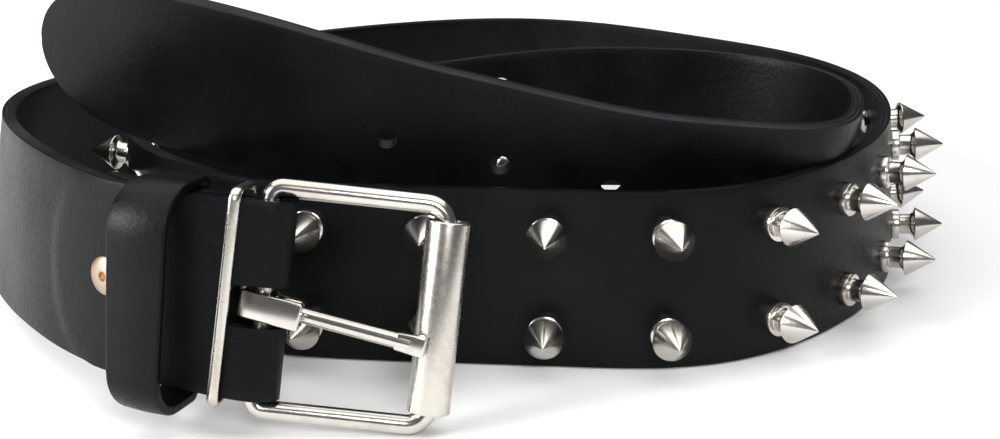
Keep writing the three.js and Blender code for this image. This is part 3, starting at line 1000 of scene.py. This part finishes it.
@dataclass
class Buckle:
    """The bent-rod frame with its roller and prong."""

    course: Course
    nickel: bpy.types.Material
    brushed: bpy.types.Material
    rod: float = 4.0
    spacing: float = 35.4
    rails: float = 45.0
    near_radius: float = 2.4
    far_radius: float = 4.5
    bar_in: float = 3.8
    roller_outer: float = 8.8
    roller_wall: float = 1.5
    roller_length: float = 39.0
    reach: float = 34.4
    sag: float = 7.0
    drop: float = 1.2
    eye_width: float = 5.7
    eye_inner: float = 2.35
    eye_outer: float = 3.9
    tip_height: float = 2.6

    def seat(self) -> Matrix:
        """Places what is built with the bar on its y axis and x towards the roller."""
        return self.course.seat(0, -self.bar_in, 0, 0.3)

    def frame(self) -> bpy.types.Object:
        """Bends the frame from one rod.

        Returns:
            The piece.
        """
        knots = rounded_loop(self.spacing, self.rails, self.near_radius, self.far_radius, 9, 14)
        piece = swept(knots, self.rod, self.rod, 24)
        shift = Matrix.Translation((self.spacing / 2, 0, 0))
        piece.data.transform(self.seat() @ shift)
        return Bench.dressed(
            piece, "frame_rod", Body.FRAME, Slot.NICKEL, self.nickel, ["buckle_frame"], 60
        )

    def roller(self) -> bpy.types.Object:
        """Makes the open tube on the far bar.

        Returns:
            The piece.
        """
        Bench.clear()
        bpy.ops.mesh.primitive_cylinder_add(
            vertices=64, radius=self.roller_outer / 2, depth=self.roller_length,
            end_fill_type="NOTHING", rotation=(math.pi / 2, 0, 0),
        )
        piece = bpy.context.object
        bpy.ops.object.transform_apply(location=True, rotation=True, scale=True)
        Bench.closed(piece)
        Bench.modify(piece, "SOLIDIFY", thickness=self.roller_wall, offset=-1)
        Bench.modify(
            piece, "BEVEL", width=0.4, segments=3, limit_method="ANGLE",
            angle_limit=math.radians(50),
        )
        Bench.closed(piece)
        piece.data.transform(self.seat() @ Matrix.Translation((self.spacing, 0, 0)))
        return Bench.dressed(
            piece, "roller_tube", Body.ROLLER, Slot.NICKEL, self.brushed, ["roller"], 40
        )

    def prong(self) -> bpy.types.Object:
        """Forges the prong: a flat strip wrapped round the bar, a round shank and a flat tip.

        Returns:
            The piece.
        """
        Bench.clear()
        bpy.ops.mesh.primitive_cylinder_add(
            vertices=32, radius=self.eye_outer, depth=self.eye_width,
            end_fill_type="NOTHING", rotation=(math.pi / 2, 0, 0),
        )
        eye = bpy.context.object
        bpy.ops.object.transform_apply(location=True, rotation=True, scale=True)
        Bench.closed(eye)
        wall = self.eye_outer - self.eye_inner
        Bench.modify(eye, "SOLIDIFY", thickness=wall, offset=-1)
        Bench.modify(
            eye, "BEVEL", width=0.3, segments=2, limit_method="ANGLE",
            angle_limit=math.radians(50),
        )
        half = self.eye_width / 2
        neck = Bench.block((self.eye_inner + 0.5, -half, -1.6), (8.6, half, 1.6), 0.55)
        plate = Bench.block((-3.7, -half, 2.35), (9.2, half, 4.0), 0.45)
        shank = Bench.turned(
            ((1.2, 7.6), (1.6, 8.0), (1.6, 20), (1.6, self.reach - 4.6), (1.5, self.reach - 3)), 24
        )
        shank.data.transform(Matrix.Rotation(math.pi / 2, 4, "Y"))
        tip = Bench.block(
            (self.reach - 6.2, -2.15, -1.3), (self.reach, 2.15, 1.3), 0.5
        )

        def taper(point: Vector) -> Vector:
            """Thins the tip towards its end and narrows its root."""
            along = (point.x - self.reach + 6.2) / 6.2
            narrow = 0.82 + 0.18 * smoothstep(along, 0, 0.45)
            return Vector((point.x, point.y * narrow, point.z * (1.08 - 0.3 * along)))

        Bench.moved(tip, taper)
        piece = Bench.joined([eye, neck, plate, shank, tip])
        rise = self.roller_outer / 2 + 0.3 + self.tip_height / 2
        turn = Matrix.Rotation(-math.atan2(rise, self.reach), 4, "Y")
        lowered = Matrix.Translation((0, -self.drop, 0))
        piece.data.transform(
            self.seat() @ lowered @ turn @ Matrix.Rotation(math.radians(-self.sag), 4, "Z")
        )
        return Bench.dressed(
            piece, "prong_forged", Body.PRONG, Slot.NICKEL, self.nickel, ["prong"], 30
        )

    def build(self) -> None:
        """Makes all three pieces."""
        self.frame()
        self.roller()
        self.prong()


@dataclass
class Keepers:
    """The wire keeper, the loose leather keeper and the rivet."""

    course: Course
    leather: bpy.types.Material
    brushed: bpy.types.Material
    copper: bpy.types.Material
    gap: float = 0.3
    layer: float = 3.3
    wire: float = 2.0
    strip: tuple[float, float] = (1.5, 2.3)
    wire_at: float = 6.4
    under: float = -7.29
    loop_at: float = 19.4
    loop_width: float = 10.0
    loop_thickness: float = 2.0
    loop_slack: float = 8.0
    loop_radius: float = 9.0
    loop_sag: float = 1.5
    rivet_at: float = 33.0
    rivet_head: float = 8.8

    def onto(self, piece: bpy.types.Object, distance: float) -> None:
        """Swaps a ring's axes so that it goes round the strap, and bends it along the course.

        Args:
            piece: a ring in the x-y plane, x out of the coil and y up.
            distance: where it sits along the strap.
        """
        Bench.moved(
            piece,
            lambda point: self.course.point(distance + point.z, point.x, point.y) * MM,
        )
        Bench.edit(piece, "FACE")
        bpy.ops.mesh.select_all(action="SELECT")
        bpy.ops.mesh.flip_normals()
        Bench.clear()

    def wire_loop(self) -> bpy.types.Object:
        """Bends the thin metal keeper.

        Returns:
            The piece.
        """
        front = self.course.thickness / 2 + self.gap + self.wire / 2
        back = self.under - self.course.thickness / 2 - 2 * self.gap - self.wire / 2
        height = self.course.width + 4 * self.gap + self.wire
        knots = rounded_loop(front - back, height, self.wire, self.wire, 6, 8)
        piece = swept(knots, self.strip[0], self.strip[1], 16)
        piece.data.transform(Matrix.Translation(((front + back) / 2, 0, 0)))
        self.onto(piece, self.wire_at)
        return Bench.dressed(
            piece, "keeper_wire", Body.BELT, Slot.NICKEL, self.brushed, ["metal_keeper"], 60
        )

    def leather_loop(self) -> bpy.types.Object:
        """Shapes the loose leather keeper from an open hoop.

        Returns:
            The piece.
        """
        depth = self.layer + self.course.thickness + 4 * self.gap
        depth += self.loop_thickness + self.loop_slack
        height = self.course.width + 2 * (self.gap + self.loop_sag) + self.loop_thickness
        back_radius = self.loop_thickness / 2 + self.gap
        knots = rounded_loop(depth, height, back_radius, self.loop_radius, 9, 8)
        Bench.clear()
        bpy.ops.mesh.primitive_cylinder_add(
            vertices=len(knots), radius=100, depth=self.loop_width, end_fill_type="NOTHING"
        )
        piece = bpy.context.object
        Bench.edit(piece, "EDGE")
        bpy.ops.mesh.select_all(action="SELECT")
        bpy.ops.mesh.subdivide(number_cuts=1)
        Bench.clear()
        centre = -self.layer / 2 + self.loop_slack / 2

        def move(point: Vector) -> Vector:
            """Carries a point of the hoop to its knot, with a slightly crowned width."""
            turn = math.atan2(point.y, point.x) / math.tau * len(knots)
            low = knots[math.floor(turn + 0.01) % len(knots)]
            high = knots[math.ceil(turn - 0.01) % len(knots)]
            mid = (low[0] + high[0]) / 2
            outward = (low[1] + high[1]).normalized()
            crown = 0.2 * (1 - abs(point.z) / (self.loop_width / 2))
            return Vector((
                mid.x + centre + outward.x * crown,
                mid.y - self.loop_sag + outward.y * crown,
                point.z,
            ))

        Bench.moved(piece, move)
        Bench.closed(piece)
        Bench.modify(piece, "SOLIDIFY", thickness=self.loop_thickness, offset=0)
        self.mark(piece)
        Bench.modify(
            piece, "BEVEL", width=0.45, segments=3, limit_method="ANGLE",
            angle_limit=math.radians(60),
        )
        self.onto(piece, self.loop_at)
        return Bench.dressed(
            piece, "keeper_leather", Body.BELT, Slot.LEATHER, self.leather, ["leather_keeper"], 40
        )

    def mark(self, piece: bpy.types.Object) -> None:
        """Stores where the hoop's cut edges are.

        Args:
            piece: the hoop.
        """
        mesh = piece.data
        rim = mesh.attributes.new("rim", "FLOAT", "POINT")
        depth = mesh.attributes.new("depth", "FLOAT", "POINT")
        for i, vertex in enumerate(mesh.vertices):
            edge = abs(vertex.co.z) / (self.loop_width / 2)
            rim.data[i].value = smoothstep(edge, 0.8, 1)
            depth.data[i].value = 0.0

    def rivet(self) -> bpy.types.Object:
        """Turns the rivet that holds both layers.

        Returns:
            The piece.
        """
        front = self.course.thickness / 2 + 0.2
        back = -self.layer - self.course.thickness / 2 - 0.2
        head = self.rivet_head / 2
        profile = (
            (0.8, back - 1.3), (head * 0.6, back - 1.15), (head * 0.93, back - 0.6),
            (head, back - 0.2), (head * 0.97, back), (2, back), (2, front), (head * 0.96, front),
            (head, front + 0.25), (head * 0.97, front + 0.6), (head * 0.85, front + 1.0),
            (head * 0.62, front + 1.35), (head * 0.36, front + 1.5), (head * 0.2, front + 1.5),
            (head * 0.15, front + 1.25), (0.15, front + 1.2),
        )
        piece = Bench.turned(profile, 48)
        piece.data.transform(self.course.seat(self.rivet_at, 0, 0, 26.6 / 3))
        return Bench.dressed(
            piece, "rivet_domed", Body.BELT, Slot.COPPER, self.copper, ["keeper_rivet"], 35
        )

    def build(self) -> None:
        """Makes all three pieces."""
        self.wire_loop()
        self.leather_loop()
        self.rivet()


@dataclass
class Studio:
    """Pale floor, soft lights and the photograph's view, in metres."""

    aim: tuple[float, float, float] = (0.00592, -0.03835, 0.02)
    elevation: float = 18.67
    distance: float = 0.3573
    roll: float = 0.33
    focal: float = 51.64
    world: float = 0.1

    def floor(self) -> None:
        """Lays the floor and its plain finish."""
        Bench.clear()
        bpy.ops.mesh.primitive_plane_add(size=8, location=(0, 0, -0.0002))
        floor = bpy.context.object
        floor.name = "floor"
        shader = Shader("pale_floor")
        shade = shader.noise(1.5, 1)
        shader.surface(
            Base_Color=shader.mix(shade, (0.86, 0.86, 0.86, 1), (0.9, 0.9, 0.9, 1)),
            Roughness=0.75,
        )
        floor.data.materials.append(shader.material)
        floor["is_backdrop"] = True

    def light(
        self, name: str, place: tuple[float, float, float], size: tuple[float, float], power: float
    ) -> None:
        """Adds a soft rectangular light that faces the belt.

        Args:
            name: its name.
            place: where it stands.
            size: its width and height.
            power: its power in watts.
        """
        data = bpy.data.lights.new(name, "AREA")
        data.shape = "RECTANGLE"
        data.size, data.size_y = size
        data.energy = power
        lamp = bpy.data.objects.new(name, data)
        bpy.context.collection.objects.link(lamp)
        lamp.location = place
        lamp.rotation_euler = (Vector(place) - Vector((0, 0, 0.02))).to_track_quat("Z", "Y").to_euler()

    def camera(self) -> None:
        """Sets the photograph's view."""
        data = bpy.data.cameras.new("view")
        data.lens = self.focal
        data.sensor_fit = "HORIZONTAL"
        data.sensor_width = 36
        data.clip_start = 0.01
        eye = bpy.data.objects.new("view", data)
        bpy.context.collection.objects.link(eye)
        tilt = math.radians(self.elevation)
        back = Vector((0, -math.cos(tilt), math.sin(tilt))) * self.distance
        turn = Matrix.Rotation(math.pi / 2 - tilt, 4, "X")
        turn = turn @ Matrix.Rotation(math.radians(self.roll), 4, "Z")
        eye.matrix_world = Matrix.Translation(Vector(self.aim) + back) @ turn
        bpy.context.scene.camera = eye

    def build(self) -> None:
        """Sets up the whole studio."""
        self.floor()
        self.light("top", (0.0, 0.2, 1.3), (2.4, 2.0), 27)
        self.light("left", (-1.0, -0.5, 0.45), (0.5, 0.6), 19)
        self.light("front", (0.25, -1.1, 0.75), (0.5, 0.35), 8)
        world = bpy.data.worlds.new("studio")
        world.use_nodes = True
        back = world.node_tree.nodes["Background"]
        back.inputs["Color"].default_value = (0.95, 0.97, 1, 1)
        back.inputs["Strength"].default_value = self.world
        bpy.context.scene.world = world
        bpy.context.scene.view_settings.view_transform = "Standard"
        self.camera()


def corners(bounds: Sequence[Sequence[float]]) -> list[list[float]]:
    """Turns a box into plain lists of numbers."""
    return [[float(value) for value in corner] for corner in bounds]


def main() -> None:
    """Builds the belt and its studio, and works out its size before and after."""
    logging.basicConfig(level=logging.INFO, format="%(name)s %(message)s")
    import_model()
    before = corners(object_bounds())
    Bench.clear()
    leather = Leather().material()
    nickel = Metal("polished_nickel", (0.64, 0.615, 0.57, 1), (0.54, 0.505, 0.455, 1), 0.2, 0.08)
    brushed = Metal(
        "brushed_nickel", (0.64, 0.61, 0.56, 1), (0.52, 0.475, 0.41, 1), 0.27, 0.11, 700.0, 0.14
    )
    course = Course()
    dot = Keepers.rivet_at
    centre = course.seat(dot, course.thickness / 2 + 1.5, 0, 26.6 / 3).translation
    copper = Metal(
        "coppery_rivet", (0.4, 0.34, 0.28, 1), (0.36, 0.25, 0.17, 1), 0.42, 0.12, 900.0, 0.25,
        tuple(centre), 0.0011,
    )
    polished = nickel.material()
    Strap(course, leather).build()
    satin = brushed.material()
    Keepers(course, leather, satin, copper.material()).build()
    Buckle(course, polished, satin).build()
    Studs(course, polished).build()
    Studio().build()
    {"cad": before, "visual": corners(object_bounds())}


if __name__ == "__main__":
    main()
